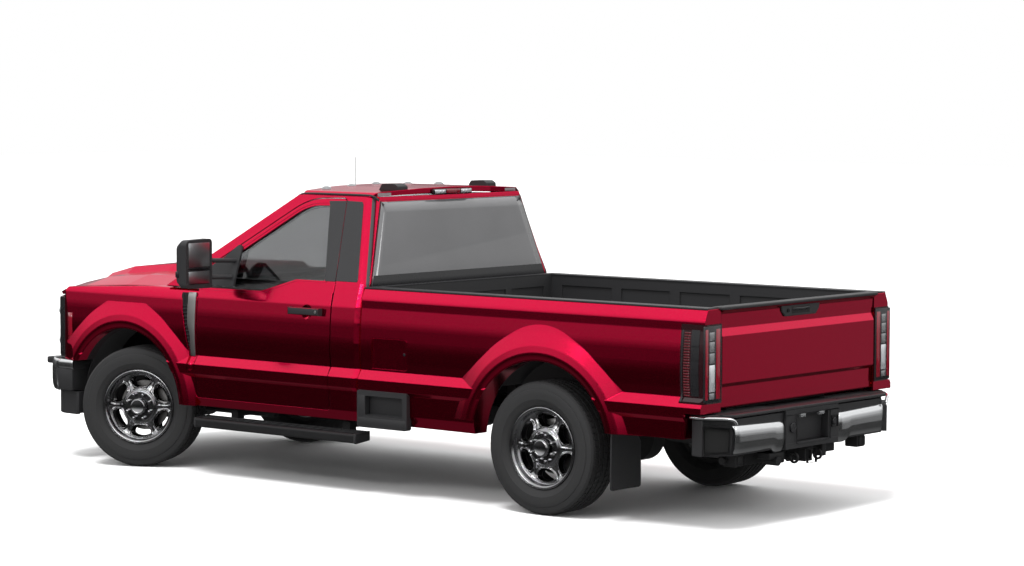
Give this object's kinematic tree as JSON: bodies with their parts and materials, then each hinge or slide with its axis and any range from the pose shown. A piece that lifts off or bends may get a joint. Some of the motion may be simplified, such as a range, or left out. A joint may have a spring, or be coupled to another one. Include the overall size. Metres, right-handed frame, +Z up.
{
  "type": "pickup truck",
  "caption": "Full-size heavy-duty pickup truck with a regular cab, a long open cargo box, a drop tailgate and steered front wheels.",
  "frame": {"origin": "on the ground below the middle of the truck's bounding box", "axes": "+X forward, +Y to the truck's left, +Z up"},
  "size_m": [5.888, 2.66, 2.06],
  "materials": {
    "tyre": "matt",
    "wheel_metal": "polished",
    "chassis_black": "satin",
    "engine_metal": "rough",
    "exhaust_steel": "brushed",
    "red_paint": "metallic gloss",
    "glass": "tinted",
    "black_plastic": "matt grained",
    "interior": "matt",
    "seat_cloth": "woven",
    "bumper_chrome": "polished",
    "box_liner": "satin",
    "clear_lamp": "clear",
    "red_lamp": "clear red",
    "amber_lamp": "clear amber"
  },
  "bodies": {
    "truck": {"frame": "chassis_black", "front_axle": "chassis_black", "rear_axle": "chassis_black", "front_suspension": "chassis_black", "rear_suspension": "chassis_black", "fuel_tank": "chassis_black", "driveline": "chassis_black", "engine_block": "engine_metal", "exhaust": "exhaust_steel", "spare_wheel": "tyre", "cab_sides": "red_paint", "roof": "red_paint", "cab_back": "red_paint", "fenders": "red_paint", "bed_sides": "red_paint", "cab_glass": "glass", "front_valance": "black_plastic", "rear_bumper_step": "black_plastic", "running_boards": "black_plastic", "box_steps": "black_plastic", "wheel_liners": "black_plastic", "rail_caps": "black_plastic", "antenna": "black_plastic", "firewall": "black_plastic", "grille": "black_plastic", "cab_floor": "interior", "dashboard": "interior", "seat": "seat_cloth", "front_bumper": "bumper_chrome", "rear_bumper": "bumper_chrome", "bed_floor": "box_liner", "headlamps": "clear_lamp", "tail_lamps": "red_lamp", "roof_lamps": "amber_lamp", "roof_pods": "black_plastic"},
    "knuckle_left": {"knuckle_left": "chassis_black"},
    "knuckle_right": {"knuckle_right": "chassis_black"},
    "tie_rod": {"tie_rod": "chassis_black"},
    "steering_wheel": {"steering_wheel": "interior"},
    "door_left": {"door_left": "red_paint", "door_glass_left": "glass", "mirror_left": "black_plastic"},
    "door_right": {"door_right": "red_paint", "door_glass_right": "glass", "mirror_right": "black_plastic"},
    "hood": {"hood": "red_paint"},
    "tailgate": {"tailgate": "red_paint"},
    "fuel_door": {"fuel_door": "red_paint"},
    "wheel_front_left": {"wheel_front_left": "wheel_metal", "tyre_front_left": "tyre"},
    "wheel_front_right": {"wheel_front_right": "wheel_metal", "tyre_front_right": "tyre"},
    "wheel_rear_left": {"wheel_rear_left": "wheel_metal", "tyre_rear_left": "tyre"},
    "wheel_rear_right": {"wheel_rear_right": "wheel_metal", "tyre_rear_right": "tyre"}
  },
  "joints": [
    {"name": "steer_left", "type": "hinge", "parent": "truck", "child": "knuckle_left", "pos_m": [1.972, 0.7675, 0.4075], "axis": [0, 0, 1], "range_deg": [-60, 12]},
    {"name": "steer_right", "type": "hinge", "parent": "truck", "child": "knuckle_right", "pos_m": [1.972, -0.7675, 0.4075], "axis": [0, 0, 1], "range_deg": [-60, 12]},
    {"name": "tie_rod_turn", "type": "hinge", "parent": "knuckle_left", "child": "tie_rod", "pos_m": [2.08963, 0.82285, 0.2975], "axis": [0, 0, 1], "range_deg": [-12, 60]},
    {"name": "steering_wheel_turn", "type": "hinge", "parent": "truck", "child": "steering_wheel", "pos_m": [0.89, 0.4, 1.075], "axis": [-0.8829, 0, 0.4695], "range_deg": [-960, 192]},
    {"name": "wheel_front_left_spin", "type": "hinge", "parent": "knuckle_left", "child": "wheel_front_left", "pos_m": [1.92942, 0.85798, 0.4075], "axis": [-0.4258, 0.9048, 0], "continuous": true},
    {"name": "wheel_front_right_spin", "type": "hinge", "parent": "knuckle_right", "child": "wheel_front_right", "pos_m": [2.01458, -0.85798, 0.4075], "axis": [-0.4258, 0.9048, 0], "continuous": true},
    {"name": "wheel_rear_left_spin", "type": "hinge", "parent": "truck", "child": "wheel_rear_left", "pos_m": [-1.625, 0.8535, 0.4075], "axis": [0, 1, 0], "continuous": true},
    {"name": "wheel_rear_right_spin", "type": "hinge", "parent": "truck", "child": "wheel_rear_right", "pos_m": [-1.625, -0.8535, 0.4075], "axis": [0, 1, 0], "continuous": true},
    {"name": "door_left_hinge", "type": "hinge", "parent": "truck", "child": "door_left", "pos_m": [1.299, 1.012, 0.85], "axis": [0, 0, -1], "range_deg": [0, 65]},
    {"name": "door_right_hinge", "type": "hinge", "parent": "truck", "child": "door_right", "pos_m": [1.299, -1.012, 0.85], "axis": [0, 0, 1], "range_deg": [0, 65]},
    {"name": "hood_hinge", "type": "hinge", "parent": "truck", "child": "hood", "pos_m": [1.652, 0, 1.2], "axis": [0, -1, 0], "range_deg": [0, 36]},
    {"name": "tailgate_hinge", "type": "hinge", "parent": "truck", "child": "tailgate", "pos_m": [-2.806, 0, 0.738], "axis": [0, -1, 0], "range_deg": [0, 90]},
    {"name": "fuel_door_hinge", "type": "hinge", "parent": "truck", "child": "fuel_door", "pos_m": [-0.27, 0.976, 0.9], "axis": [0, 0, -1], "range_deg": [0, 110]}
  ],
  "couplings": [
    {"joint": "steer_right", "follows": "steer_left", "ratio": 1},
    {"joint": "tie_rod_turn", "follows": "steer_left", "ratio": -1},
    {"joint": "steering_wheel_turn", "follows": "steer_left", "ratio": 16}
  ]
}
